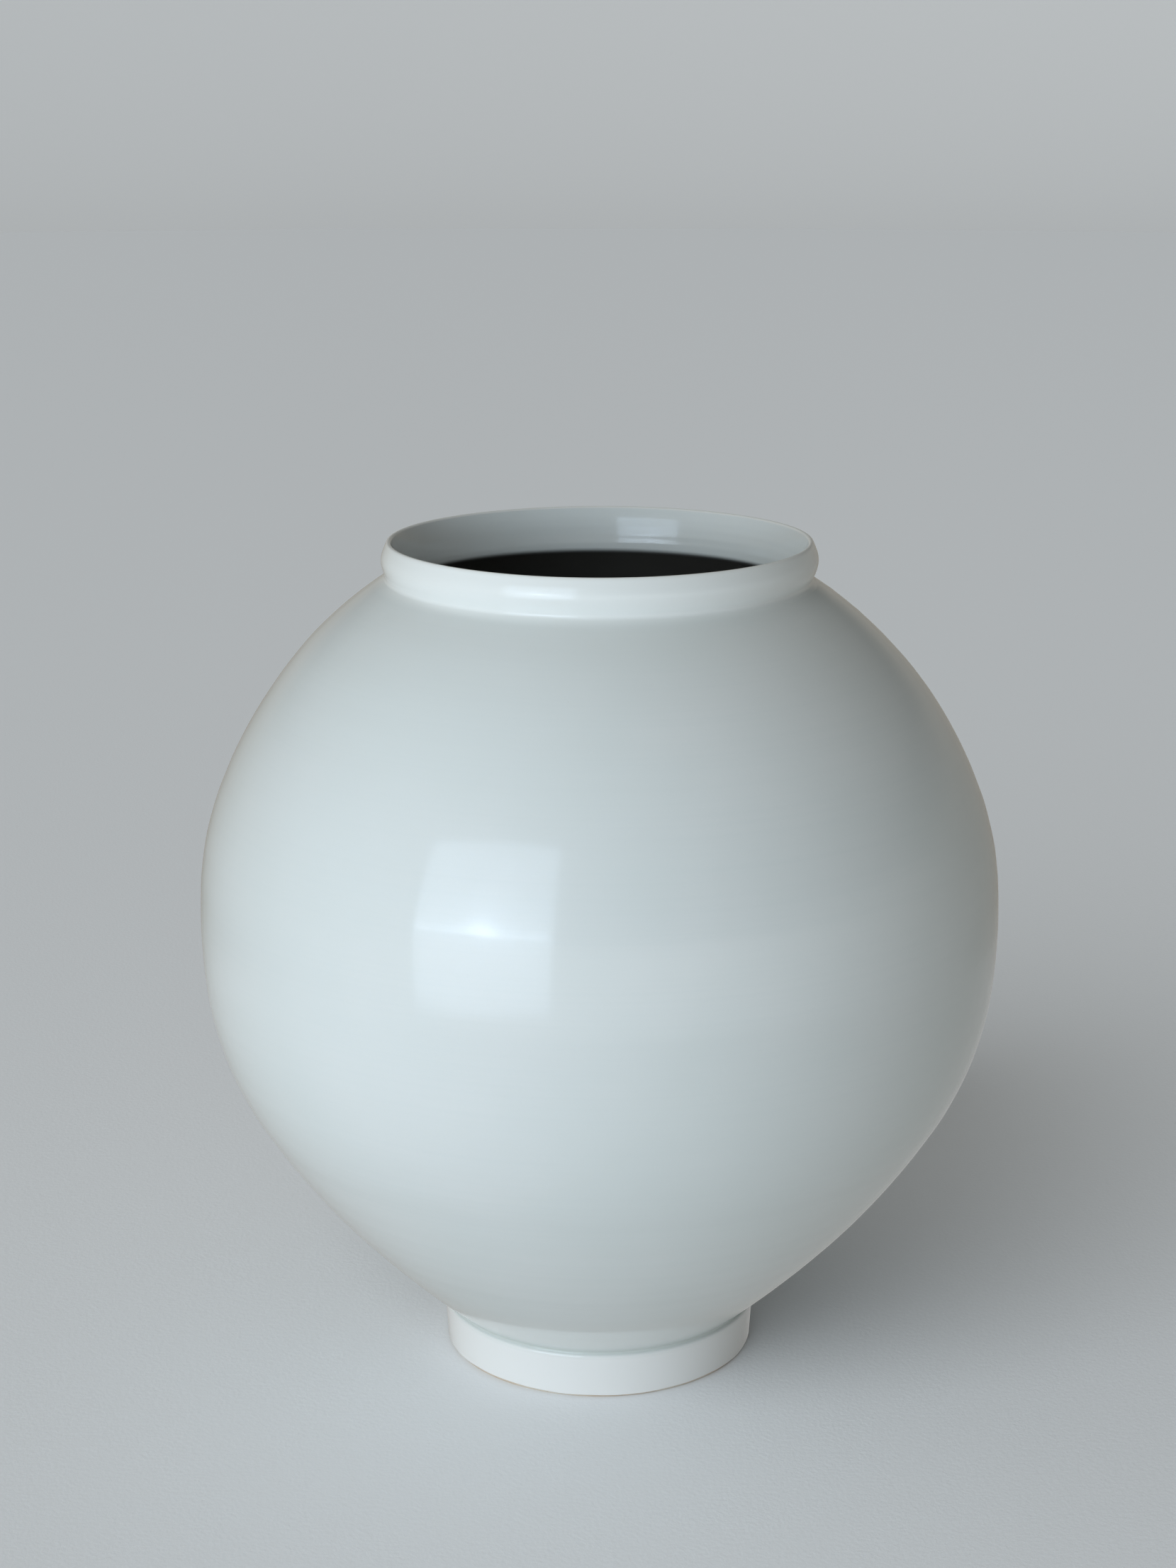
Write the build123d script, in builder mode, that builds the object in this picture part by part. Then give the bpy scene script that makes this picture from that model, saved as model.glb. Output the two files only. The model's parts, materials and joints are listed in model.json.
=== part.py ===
from build123d import *
import os
from math import sin, cos, tan, radians, degrees, hypot, atan2

# Moon jar: a near-spherical porcelain jar, thrown as two bowls that are luted rim to rim at
# the equator, with a thrown mouth collar above and a thrown foot ring below.
# Millimetres. Origin on the jar's axis at the plane it stands on, +Z up the axis.
# Every piece is a ring or a bowl, turned about Z from a section drawn on the XZ plane.

# ---------------------------------------------------------------- driving dimensions
TOTAL_HEIGHT = 400.0        # standing plane to lip crest
EQUATOR_Z = 220.5           # height of the widest point and of the bowl-to-bowl joint
EQUATOR_R = 190.2           # widest radius, over the glaze

GLAZE = 0.6                 # glaze coat, inside and out
WALL = 5.6                  # thrown wall, clay only, from the belly up
SLIP = 0.8                  # luting slip between two joined pieces

# Outer body, over the glaze, as tangent arcs away from the equator: radius, and the tangent
# heading in degrees (0 = outward, 90 = straight up) at which the arc ends.
BELT_R = 282.0
BODY_UP = [(BELT_R, 94.1), (142.4, 109.9), (212.6, 121.0), (200.0, 147.6)]
BODY_DOWN = [(BELT_R, 84.4), (151.2, 59.0), (368.3, 46.9), (612.7, 40.7)]

# Mouth collar, over the glaze
LIP_R = 98.0                # radius of the lip crest
LIP_ROUND = 1.2             # rounding of the lip
BULGE_R = 101.5             # widest radius of the collar's rolled outer face
BULGE_Z = 391.5
COLLAR_UNDER = 14.9         # arc below the bulge
COLLAR_FILLET = 1.2         # glaze fillet where the collar meets the shoulder
SCARF_HEADING = 52.5        # heading of the collar's rolled face where its bevelled joint starts
SCARF_SLOPE = 55.0          # slope of that joint, down and in
THROAT_ROUND = 2.5          # rounding under the neck's inner wall
THROAT_AXIS_R = 94.8        # radius of the centre of that rounding
NECK_ARC = 70.7             # slight flare of the neck's inner wall

# Foot ring
BASE_Z = 14.5               # underside of the lower bowl, the roof of the foot recess
FOOT_WALL_LEAN = 86.4       # heading of the foot's outer wall
FOOT_EDGE = (75.06, 21.0)   # centre of the rounded top edge of the foot
FOOT_EDGE_ROUND = 1.4
FOOT_LEDGE = 165.0          # heading of the short ledge from that edge in to the seat
FOOT_V_FILLET = 0.9         # glaze in the notch between the foot and the body
FOOT_BORE_R = 62.8          # inner wall of the foot ring
FOOT_LAND_R = 73.9          # outer radius of the flat standing rim
FOOT_OUTER_BEVEL = 1.0      # height of the bevel outside the rim
FOOT_INNER_BEVEL = 3.0      # width and height of the bevel inside it
GLAZE_STOP_Z = 1.2          # the glaze is wiped off below this height
RECESS_GLAZE_STOP_Z = 3.2
RECESS_COVE = 3.0           # cove of the glaze at the roof of the recess

# Inside of the lower bowl
FLOOR_Z = 26.5              # top of the clay floor
FLOOR_HEADING = 37.9        # heading where the floor's curve ends and the wall's begins
FLOOR_WALL_ARC = 307.0      # long arc of the wall between the two

# Equator joint: a ridge on the upper bowl's rim sits in a groove in the lower bowl's rim
KEY_LAND = 1.2              # flat land each side of the groove
KEY_DEPTH = 2.2
BEAD_HALF = 4.5             # slip bead smoothed over the seam inside: half its height
BEAD_PROUD = 1.6            # how far it stands in from the wall
BEAD_COVE = 2.0             # cove of the glaze at each side of the bead

# ---------------------------------------------------------------- section geometry
# An arc is (centre r, centre z, radius). A point on it is named by its tangent heading.


def on(arc, heading, inset=0.0):
    """Point of a convex arc at a heading, on the surface that lies inset below it."""
    a = radians(heading)
    return (arc[0] + (arc[2] - inset) * sin(a), arc[1] - (arc[2] - inset) * cos(a))


def heading_of(arc, point):
    """Heading of an arc at a point of it."""
    return degrees(atan2(point[0] - arc[0], arc[1] - point[1]))


def next_arc(arc, heading, radius):
    """Arc of another radius, tangent to arc at a heading."""
    a = radians(heading)
    k = arc[2] - radius
    return (arc[0] + k * sin(a), arc[1] - k * cos(a), radius)


def meet(c1, d1, c2, d2, side):
    """Point at distance d1 from c1 and d2 from c2; side +1 or -1 picks which of the two."""
    dx, dz = c2[0] - c1[0], c2[1] - c1[1]
    d = hypot(dx, dz)
    k = (d1 * d1 - d2 * d2 + d * d) / (2 * d)
    h = (d1 * d1 - k * k) ** 0.5
    return (c1[0] + (k * dx - side * h * dz) / d, c1[1] + (k * dz + side * h * dx) / d)


def hit(arc, radius, start, angle, far=1):
    """Point where a line from start, at an angle above +r, crosses a circle about the arc's
    centre; far +1 or -1 picks the further or the nearer crossing along the line."""
    ux, uz = cos(radians(angle)), sin(radians(angle))
    wx, wz = start[0] - arc[0], start[1] - arc[1]
    b = wx * ux + wz * uz
    t = -b + far * (b * b - wx * wx - wz * wz + radius * radius) ** 0.5
    return (start[0] + t * ux, start[1] + t * uz)


def sweep_arc(arc, h0, h1, inset=0.0):
    """Draw an arc between two headings."""
    ThreePointArc(on(arc, h0, inset), on(arc, (h0 + h1) / 2, inset), on(arc, h1, inset))


def sweep_between(centre, radius, p0, p1):
    """Draw the short way round a circle between two points of it."""
    a0 = atan2(p0[1] - centre[1], p0[0] - centre[0])
    a1 = atan2(p1[1] - centre[1], p1[0] - centre[0])
    turn = (a1 - a0 + 3 * 3.141592653589793) % (2 * 3.141592653589793) - 3.141592653589793
    am = a0 + turn / 2
    ThreePointArc(p0, (centre[0] + radius * cos(am), centre[1] + radius * sin(am)), p1)


# the body's arcs, from the equator up and from the equator down
belt = (EQUATOR_R - BELT_R, EQUATOR_Z, BELT_R)
up = [belt]
for (r_old, h), (r_new, _) in zip(BODY_UP, BODY_UP[1:]):
    up.append(next_arc(up[-1], h, r_new))
down = [belt]
for (r_old, h), (r_new, _) in zip(BODY_DOWN, BODY_DOWN[1:]):
    down.append(next_arc(down[-1], h, r_new))
up_h = [90.0] + [h for _, h in BODY_UP]
down_h = [90.0] + [h for _, h in BODY_DOWN]
shoulder = up[-1]
base_arc = down[-1]
IN = GLAZE + WALL                                  # outer glaze face to inner clay face

# collar: lip, bulge, neck wall and throat
lip_c = (LIP_R, TOTAL_HEIGHT - LIP_ROUND)
k = BULGE_R - LIP_R
dz = lip_c[1] - BULGE_Z
upper_roll_r = (k * k + dz * dz - LIP_ROUND ** 2) / (2 * (k - LIP_ROUND))
upper_roll = (BULGE_R - upper_roll_r, BULGE_Z, upper_roll_r)
under_roll = (BULGE_R - COLLAR_UNDER, BULGE_Z, COLLAR_UNDER)
lip_arc = (lip_c[0], lip_c[1], LIP_ROUND)
lip_out_h = heading_of(upper_roll, lip_c)
throat_far = shoulder[2] - IN + (THROAT_ROUND - GLAZE)
throat_z = shoulder[1] + (throat_far ** 2 - (THROAT_AXIS_R - shoulder[0]) ** 2) ** 0.5
throat_c = (THROAT_AXIS_R, throat_z)
neck_c = meet(throat_c, NECK_ARC - THROAT_ROUND, lip_c, NECK_ARC - LIP_ROUND, -1)
collar_fillet_c = meet(under_roll, COLLAR_UNDER + COLLAR_FILLET,
                       shoulder, shoulder[2] + COLLAR_FILLET, 1)


def toward(c, target, distance):
    """Point at a distance from c along the line to target."""
    d = hypot(target[0] - c[0], target[1] - c[1])
    return (c[0] + (target[0] - c[0]) * distance / d, c[1] + (target[1] - c[1]) * distance / d)


def neck_ends(inset):
    """Ends of the neck's arc, at the throat's rounding and at the lip's."""
    rn = NECK_ARC - inset
    return toward(neck_c, throat_c, rn), toward(neck_c, lip_c, rn)


ceiling_end = toward(shoulder, throat_c, shoulder[2] - IN)
ceiling_end_glaze = toward(shoulder, throat_c, shoulder[2] - IN - GLAZE)
ceiling_h = heading_of(shoulder, ceiling_end)

# bevelled joint under the collar: its outer and inner corners on the bowl and on the collar
collar_out = on(under_roll, SCARF_HEADING, GLAZE)
collar_in = hit(shoulder, shoulder[2] - IN, collar_out, SCARF_SLOPE)
below = (SLIP * sin(radians(SCARF_SLOPE)), -SLIP * cos(radians(SCARF_SLOPE)))
scarf_bowl = (collar_out[0] + below[0], collar_out[1] + below[1])
bowl_out = hit(shoulder, shoulder[2] - GLAZE, scarf_bowl, SCARF_SLOPE)
bowl_in = hit(shoulder, shoulder[2] - IN, scarf_bowl, SCARF_SLOPE)

# foot: rounded top edge, notch, wall and seat
edge_arc = (FOOT_EDGE[0], FOOT_EDGE[1], FOOT_EDGE_ROUND)
notch_c = meet(FOOT_EDGE, FOOT_EDGE_ROUND + FOOT_V_FILLET,
               base_arc, base_arc[2] + FOOT_V_FILLET, -1)
notch_on_edge = toward(FOOT_EDGE, notch_c, FOOT_EDGE_ROUND)
notch_on_body = toward(base_arc, notch_c, base_arc[2])
base_top_h = heading_of(base_arc, notch_on_body)


def foot_wall(z, inset=0.0):
    """Point of the foot's leaning outer wall at a height."""
    p = on(edge_arc, FOOT_WALL_LEAN, inset)
    return (p[0] - (p[1] - z) / tan(radians(FOOT_WALL_LEAN)), z)


seat_r = base_arc[2] - GLAZE + SLIP                 # the foot's dished seat, concentric
ledge = on(edge_arc, FOOT_LEDGE, GLAZE)             # clay ledge behind the rounded edge
seat_out = hit(base_arc, seat_r, ledge, FOOT_LEDGE, -1)
bowl_notch = toward(base_arc, seat_out, base_arc[2] - GLAZE)
seat_in = (FOOT_BORE_R, base_arc[1] - (seat_r ** 2 - (FOOT_BORE_R - base_arc[0]) ** 2) ** 0.5)
base_corner = (base_arc[0] + ((base_arc[2] - GLAZE) ** 2 - (base_arc[1] - BASE_Z) ** 2) ** 0.5, BASE_Z)

# inside of the lower bowl, from the belly down to the floor
belly = down[1]
belly_end = down_h[2]
wall_arc = next_arc((belly[0], belly[1], belly[2] - IN), belly_end, FLOOR_WALL_ARC)
wall_low = on(wall_arc, FLOOR_HEADING)
cove_r = (wall_low[1] - FLOOR_Z) / (1 - cos(radians(FLOOR_HEADING)))
cove_arc = (wall_low[0] - cove_r * sin(radians(FLOOR_HEADING)), FLOOR_Z + cove_r, cove_r)

# equator joint section: land, flank, flank, land, from outside in
key_out = EQUATOR_R - GLAZE
key_in = EQUATOR_R - IN
key_mid = (key_out + key_in) / 2
half = SLIP / 2


def belt_point(z, inset):
    """Point of the belt arc at a height, inset below the glaze."""
    return (belt[0] + ((belt[2] - inset) ** 2 - (z - EQUATOR_Z) ** 2) ** 0.5, z)


def key_line(z):
    """The keyed joint face, drawn from the outer clay face in."""
    return [
        belt_point(z, GLAZE),
        (key_out - KEY_LAND, z),
        (key_mid, z - KEY_DEPTH),
        (key_in + KEY_LAND, z),
        belt_point(z, IN),
    ]


bead_lo = belt_point(EQUATOR_Z - BEAD_HALF, IN)
bead_hi = belt_point(EQUATOR_Z + BEAD_HALF, IN)
bead_peak_r = key_in - BEAD_PROUD
sag = bead_hi[0] - bead_peak_r
bead_r = (BEAD_HALF ** 2 + sag ** 2) / (2 * sag)
bead_c = (bead_peak_r + bead_r, EQUATOR_Z)

# ---------------------------------------------------------------- lower bowl
# Thrown bowl with a thick floor; its rounded underside runs on below the notch to a flat base.
with BuildPart() as lower_bowl:
    with BuildSketch(Plane.XZ) as lower_section:
        with BuildLine() as lower_line:
            z_joint = EQUATOR_Z - half
            h_out = heading_of(belt, belt_point(z_joint, GLAZE))
            h_in = heading_of(belt, belt_point(z_joint, IN))
            Line((0, BASE_Z), base_corner)
            h_base = heading_of(base_arc, base_corner)
            sweep_arc(base_arc, h_base, down_h[3], GLAZE)
            sweep_arc(down[2], down_h[3], down_h[2], GLAZE)
            sweep_arc(down[1], down_h[2], down_h[1], GLAZE)
            sweep_arc(belt, down_h[1], h_out, GLAZE)
            Polyline(*key_line(z_joint))
            sweep_arc(belt, h_in, down_h[1], IN)
            sweep_arc(down[1], down_h[1], down_h[2], IN)
            sweep_arc(wall_arc, down_h[2], FLOOR_HEADING)
            sweep_arc(cove_arc, FLOOR_HEADING, 0)
            Polyline((cove_arc[0], FLOOR_Z), (0, FLOOR_Z), (0, BASE_Z))
        make_face()
    revolve(axis=Axis.Z)
lower_bowl.part.label = "lower_bowl"

# ---------------------------------------------------------------- upper bowl
# Thrown bowl, turned over and luted on rim to rim, with its bottom opened for the mouth.
with BuildPart() as upper_bowl:
    with BuildSketch(Plane.XZ) as upper_section:
        with BuildLine() as upper_line:
            z_joint = EQUATOR_Z + half
            h_out = heading_of(belt, belt_point(z_joint, GLAZE))
            h_in = heading_of(belt, belt_point(z_joint, IN))
            h_top = heading_of(shoulder, bowl_out)
            h_top_in = heading_of(shoulder, bowl_in)
            Polyline(*key_line(z_joint))
            sweep_arc(belt, h_out, up_h[1], GLAZE)
            sweep_arc(up[1], up_h[1], up_h[2], GLAZE)
            sweep_arc(up[2], up_h[2], up_h[3], GLAZE)
            sweep_arc(shoulder, up_h[3], h_top, GLAZE)
            Line(bowl_out, bowl_in)
            sweep_arc(shoulder, h_top_in, up_h[3], IN)
            sweep_arc(up[2], up_h[3], up_h[2], IN)
            sweep_arc(up[1], up_h[2], up_h[1], IN)
            sweep_arc(belt, up_h[1], h_in, IN)
        make_face()
    revolve(axis=Axis.Z)
upper_bowl.part.label = "upper_bowl"

# ---------------------------------------------------------------- slip in the equator joint
# Luting slip squeezed between the keyed rims, with the bead smoothed over the seam inside.
with BuildPart() as equator_slip_joint:
    with BuildSketch(Plane.XZ) as slip_section:
        with BuildLine() as slip_line:
            lo = key_line(EQUATOR_Z - half)
            hi = key_line(EQUATOR_Z + half)
            Polyline(*lo)
            h_lo = heading_of(belt, lo[-1])
            h_bead_lo = heading_of(belt, bead_lo)
            sweep_arc(belt, h_lo, h_bead_lo, IN)
            sweep_between(bead_c, bead_r, bead_lo, bead_hi)
            h_hi = heading_of(belt, hi[-1])
            h_bead_hi = heading_of(belt, bead_hi)
            sweep_arc(belt, h_bead_hi, h_hi, IN)
            Polyline(*reversed(hi))
            h_lo_out = heading_of(belt, lo[0])
            h_hi_out = heading_of(belt, hi[0])
            sweep_arc(belt, h_hi_out, h_lo_out, GLAZE)
        make_face()
    revolve(axis=Axis.Z)
equator_slip_joint.part.label = "equator_slip_joint"

# ---------------------------------------------------------------- mouth collar
# Low rolled collar: a bulged outer face, a thin rounded lip and a slightly flared neck wall.
with BuildPart() as mouth_collar:
    with BuildSketch(Plane.XZ) as collar_section:
        with BuildLine() as collar_line:
            neck_low, neck_high = neck_ends(GLAZE)
            lip_end_out = on(lip_arc, lip_out_h, GLAZE)
            sweep_arc(under_roll, SCARF_HEADING, 90, GLAZE)
            sweep_arc(upper_roll, 90, lip_out_h, GLAZE)
            sweep_between(lip_c, LIP_ROUND - GLAZE, lip_end_out, neck_high)
            sweep_between(neck_c, NECK_ARC - GLAZE, neck_high, neck_low)
            sweep_between(throat_c, THROAT_ROUND - GLAZE, neck_low, ceiling_end)
            h_in = heading_of(shoulder, collar_in)
            sweep_arc(shoulder, ceiling_h, h_in, IN)
            Line(collar_in, collar_out)
        make_face()
    revolve(axis=Axis.Z)
mouth_collar.part.label = "mouth_collar"

# ---------------------------------------------------------------- slip under the collar
with BuildPart() as collar_slip_joint:
    with BuildSketch(Plane.XZ) as collar_slip_section:
        with BuildLine() as collar_slip_line:
            h_bowl = heading_of(shoulder, bowl_in)
            h_collar = heading_of(shoulder, collar_in)
            Polyline(bowl_in, bowl_out, collar_out, collar_in)
            sweep_arc(shoulder, h_collar, h_bowl, IN)
        make_face()
    revolve(axis=Axis.Z)
collar_slip_joint.part.label = "collar_slip_joint"

# ---------------------------------------------------------------- foot ring
# Thrown ring with a dished seat that follows the bowl's underside, a rounded top edge, a
# slightly leaning outer wall and a bare standing rim bevelled on both sides.
with BuildPart() as foot_ring:
    with BuildSketch(Plane.XZ) as foot_section:
        with BuildLine() as foot_line:
            Line(foot_wall(FOOT_OUTER_BEVEL, GLAZE), on(edge_arc, FOOT_WALL_LEAN, GLAZE))
            sweep_arc(edge_arc, FOOT_WALL_LEAN, FOOT_LEDGE, GLAZE)
            Line(ledge, seat_out)
            sweep_between(base_arc, seat_r, seat_out, seat_in)
            Polyline(seat_in, (FOOT_BORE_R, FOOT_INNER_BEVEL), (FOOT_BORE_R + FOOT_INNER_BEVEL, 0),
                     (FOOT_LAND_R, 0), foot_wall(FOOT_OUTER_BEVEL, GLAZE))
        make_face()
    revolve(axis=Axis.Z)
foot_ring.part.label = "foot_ring"

# ---------------------------------------------------------------- slip on the foot's seat
with BuildPart() as foot_slip_joint:
    with BuildSketch(Plane.XZ) as foot_slip_section:
        with BuildLine() as foot_slip_line:
            clay_r = base_arc[2] - GLAZE
            sweep_between(base_arc, seat_r, seat_in, seat_out)
            Line(seat_out, bowl_notch)
            sweep_between(base_arc, clay_r, bowl_notch, base_corner)
            Polyline(base_corner, (FOOT_BORE_R, BASE_Z), seat_in)
        make_face()
    revolve(axis=Axis.Z)
foot_slip_joint.part.label = "foot_slip_joint"

# ---------------------------------------------------------------- outer glaze
# Coat over the whole outside, from over the lip to a wiped edge just above the standing rim.
# It pools in the crease under the collar and in the notch above the foot.
with BuildPart() as outer_glaze:
    with BuildSketch(Plane.XZ) as outer_glaze_section:
        with BuildLine() as outer_glaze_line:
            fillet_on_roll = toward(under_roll, collar_fillet_c, COLLAR_UNDER)
            fillet_on_body = toward(shoulder, collar_fillet_c, shoulder[2])
            h_roll = heading_of(under_roll, fillet_on_roll)
            h_body = heading_of(shoulder, fillet_on_body)
            lip_in, lip_in_clay = neck_ends(0)[1], neck_ends(GLAZE)[1]
            # free face, from the lip down
            sweep_between(lip_c, LIP_ROUND, lip_in, on(lip_arc, lip_out_h))
            sweep_arc(upper_roll, lip_out_h, 90)
            sweep_arc(under_roll, 90, h_roll)
            sweep_between(collar_fillet_c, COLLAR_FILLET, fillet_on_roll, fillet_on_body)
            sweep_arc(shoulder, h_body, up_h[3])
            sweep_arc(up[2], up_h[3], up_h[2])
            sweep_arc(up[1], up_h[2], up_h[1])
            sweep_arc(belt, up_h[1], down_h[1])
            sweep_arc(down[1], down_h[1], down_h[2])
            sweep_arc(down[2], down_h[2], down_h[3])
            sweep_arc(base_arc, down_h[3], base_top_h)
            sweep_between(notch_c, FOOT_V_FILLET, notch_on_body, notch_on_edge)
            sweep_between(FOOT_EDGE, FOOT_EDGE_ROUND, notch_on_edge, on(edge_arc, FOOT_WALL_LEAN))
            Line(on(edge_arc, FOOT_WALL_LEAN), foot_wall(GLAZE_STOP_Z))
            Line(foot_wall(GLAZE_STOP_Z), foot_wall(GLAZE_STOP_Z, GLAZE))
            # clay side, from the foot back up
            Line(foot_wall(GLAZE_STOP_Z, GLAZE), on(edge_arc, FOOT_WALL_LEAN, GLAZE))
            sweep_arc(edge_arc, FOOT_WALL_LEAN, FOOT_LEDGE, GLAZE)
            Polyline(ledge, seat_out, bowl_notch)
            h_notch = heading_of(base_arc, bowl_notch)
            sweep_arc(base_arc, h_notch, down_h[3], GLAZE)
            sweep_arc(down[2], down_h[3], down_h[2], GLAZE)
            sweep_arc(down[1], down_h[2], down_h[1], GLAZE)
            sweep_arc(belt, down_h[1], up_h[1], GLAZE)
            sweep_arc(up[1], up_h[1], up_h[2], GLAZE)
            sweep_arc(up[2], up_h[2], up_h[3], GLAZE)
            h_top = heading_of(shoulder, bowl_out)
            sweep_arc(shoulder, up_h[3], h_top, GLAZE)
            Line(bowl_out, collar_out)
            sweep_arc(under_roll, SCARF_HEADING, 90, GLAZE)
            sweep_arc(upper_roll, 90, lip_out_h, GLAZE)
            sweep_between(lip_c, LIP_ROUND - GLAZE, on(lip_arc, lip_out_h, GLAZE), lip_in_clay)
            Line(lip_in_clay, lip_in)
        make_face()
    revolve(axis=Axis.Z)
outer_glaze.part.label = "outer_glaze"

# ---------------------------------------------------------------- inner glaze
# Liner coat from inside the lip down the neck wall, round the inside and over the floor.
with BuildPart() as inner_glaze:
    with BuildSketch(Plane.XZ) as inner_glaze_section:
        with BuildLine() as inner_glaze_line:
            deep = IN + GLAZE
            neck_low, neck_high = neck_ends(0)
            bead_round = bead_r + GLAZE
            cove_hi = meet(bead_c, bead_round + BEAD_COVE, belt, belt[2] - deep - BEAD_COVE, -1)
            cove_lo = (cove_hi[0], 2 * EQUATOR_Z - cove_hi[1])
            wall_hi = toward(belt, cove_hi, belt[2] - deep)
            wall_lo = toward(belt, cove_lo, belt[2] - deep)
            bead_top = toward(bead_c, cove_hi, bead_round)
            bead_bot = toward(bead_c, cove_lo, bead_round)
            h_wall_hi = heading_of(belt, wall_hi)
            h_wall_lo = heading_of(belt, wall_lo)
            # free face, from the lip down to the floor
            sweep_between(neck_c, NECK_ARC, neck_high, neck_low)
            sweep_between(throat_c, THROAT_ROUND, neck_low, ceiling_end_glaze)
            sweep_arc(shoulder, ceiling_h, up_h[3], deep)
            sweep_arc(up[2], up_h[3], up_h[2], deep)
            sweep_arc(up[1], up_h[2], up_h[1], deep)
            sweep_arc(belt, up_h[1], h_wall_hi, deep)
            sweep_between(cove_hi, BEAD_COVE, wall_hi, bead_top)
            sweep_between(bead_c, bead_round, bead_top, bead_bot)
            sweep_between(cove_lo, BEAD_COVE, bead_bot, wall_lo)
            sweep_arc(belt, h_wall_lo, down_h[1], deep)
            sweep_arc(down[1], down_h[1], down_h[2], deep)
            sweep_arc(wall_arc, down_h[2], FLOOR_HEADING, GLAZE)
            sweep_arc(cove_arc, FLOOR_HEADING, 0, GLAZE)
            Polyline((cove_arc[0], FLOOR_Z + GLAZE), (0, FLOOR_Z + GLAZE), (0, FLOOR_Z),
                     (cove_arc[0], FLOOR_Z))
            # clay side, from the floor back up
            sweep_arc(cove_arc, 0, FLOOR_HEADING)
            sweep_arc(wall_arc, FLOOR_HEADING, down_h[2])
            sweep_arc(down[1], down_h[2], down_h[1], IN)
            h_bead_lo = heading_of(belt, bead_lo)
            h_bead_hi = heading_of(belt, bead_hi)
            sweep_arc(belt, down_h[1], h_bead_lo, IN)
            sweep_between(bead_c, bead_r, bead_lo, bead_hi)
            sweep_arc(belt, h_bead_hi, up_h[1], IN)
            sweep_arc(up[1], up_h[1], up_h[2], IN)
            sweep_arc(up[2], up_h[2], up_h[3], IN)
            sweep_arc(shoulder, up_h[3], ceiling_h, IN)
            neck_low_c, neck_high_c = neck_ends(GLAZE)
            sweep_between(throat_c, THROAT_ROUND - GLAZE, ceiling_end, neck_low_c)
            sweep_between(neck_c, NECK_ARC - GLAZE, neck_low_c, neck_high_c)
            Line(neck_high_c, neck_high)
        make_face()
    revolve(axis=Axis.Z)
inner_glaze.part.label = "inner_glaze"

# ---------------------------------------------------------------- glaze in the foot recess
# Separate patch of glaze on the roof and wall of the recess, coved where they meet. The bare
# standing rim parts it from the outer coat.
with BuildPart() as recess_glaze:
    with BuildSketch(Plane.XZ) as recess_section:
        with BuildLine() as recess_line:
            free_r = FOOT_BORE_R - GLAZE
            free_z = BASE_Z - GLAZE
            cove_c = (free_r - RECESS_COVE, free_z - RECESS_COVE)
            Polyline((0, BASE_Z), (FOOT_BORE_R, BASE_Z), (FOOT_BORE_R, RECESS_GLAZE_STOP_Z),
                     (free_r, RECESS_GLAZE_STOP_Z), (free_r, cove_c[1]))
            sweep_between(cove_c, RECESS_COVE, (free_r, cove_c[1]), (cove_c[0], free_z))
            Polyline((cove_c[0], free_z), (0, free_z), (0, BASE_Z))
        make_face()
    revolve(axis=Axis.Z)
recess_glaze.part.label = "recess_glaze"

# ---------------------------------------------------------------- write one file per piece
os.makedirs("parts", exist_ok=True)
export_step(lower_bowl.part, "parts/lower_bowl.step")
export_step(upper_bowl.part, "parts/upper_bowl.step")
export_step(equator_slip_joint.part, "parts/equator_slip_joint.step")
export_step(mouth_collar.part, "parts/mouth_collar.step")
export_step(collar_slip_joint.part, "parts/collar_slip_joint.step")
export_step(foot_ring.part, "parts/foot_ring.step")
export_step(foot_slip_joint.part, "parts/foot_slip_joint.step")
export_step(outer_glaze.part, "parts/outer_glaze.step")
export_step(inner_glaze.part, "parts/inner_glaze.step")
export_step(recess_glaze.part, "parts/recess_glaze.step")
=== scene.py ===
import json
import math
from math import atan2, cos, degrees, hypot, pi, radians, sin, tan

import bpy
import numpy as np
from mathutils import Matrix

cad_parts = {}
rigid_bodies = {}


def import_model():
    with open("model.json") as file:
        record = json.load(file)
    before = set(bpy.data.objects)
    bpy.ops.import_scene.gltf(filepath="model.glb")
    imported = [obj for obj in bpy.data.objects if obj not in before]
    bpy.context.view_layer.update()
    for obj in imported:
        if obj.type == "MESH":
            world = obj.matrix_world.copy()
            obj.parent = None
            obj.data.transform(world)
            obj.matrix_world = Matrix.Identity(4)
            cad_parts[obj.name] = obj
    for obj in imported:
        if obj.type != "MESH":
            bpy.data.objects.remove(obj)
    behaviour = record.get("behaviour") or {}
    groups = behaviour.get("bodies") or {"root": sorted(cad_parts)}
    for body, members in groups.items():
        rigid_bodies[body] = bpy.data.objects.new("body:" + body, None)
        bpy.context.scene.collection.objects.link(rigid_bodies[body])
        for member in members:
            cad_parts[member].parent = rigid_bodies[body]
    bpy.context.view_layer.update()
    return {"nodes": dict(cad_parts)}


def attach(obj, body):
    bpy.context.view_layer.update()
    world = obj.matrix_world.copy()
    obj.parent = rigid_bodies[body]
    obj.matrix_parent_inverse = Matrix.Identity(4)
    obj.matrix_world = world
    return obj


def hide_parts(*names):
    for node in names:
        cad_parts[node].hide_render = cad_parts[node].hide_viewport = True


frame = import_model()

MM = 0.001
AROUND = 320          # columns of every turned mesh

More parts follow.
